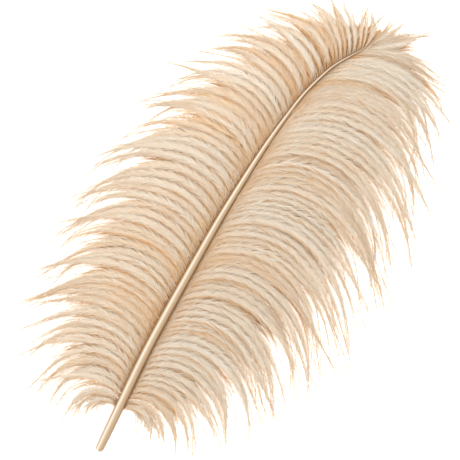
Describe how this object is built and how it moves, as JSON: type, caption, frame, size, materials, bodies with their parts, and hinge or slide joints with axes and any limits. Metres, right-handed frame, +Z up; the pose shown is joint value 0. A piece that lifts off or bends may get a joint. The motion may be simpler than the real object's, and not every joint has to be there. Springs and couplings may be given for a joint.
{
  "type": "ostrich feather",
  "caption": "Ostrich plume lying on a table: a tapering bowed shaft with a closed bare quill end and a wide soft vane of drooping barbs on each side.",
  "frame": {"origin": "centre of the plume's bounding box at the height of the surface it lies on", "axes": "+Y along the plume from the quill to the tip, +X towards the right vane as the plume is seen from above with the tip away, +Z up"},
  "size_m": [0.2546, 0.4, 0.0333],
  "materials": {
    "shaft_keratin": "smooth glossy horn, pale golden tan",
    "vane_down": "soft matt champagne-beige down, cream on the crests and tan between them"
  },
  "bodies": {
    "root": {"shaft": "shaft_keratin", "left_vane": "vane_down", "right_vane": "vane_down"}
  },
  "joints": []
}
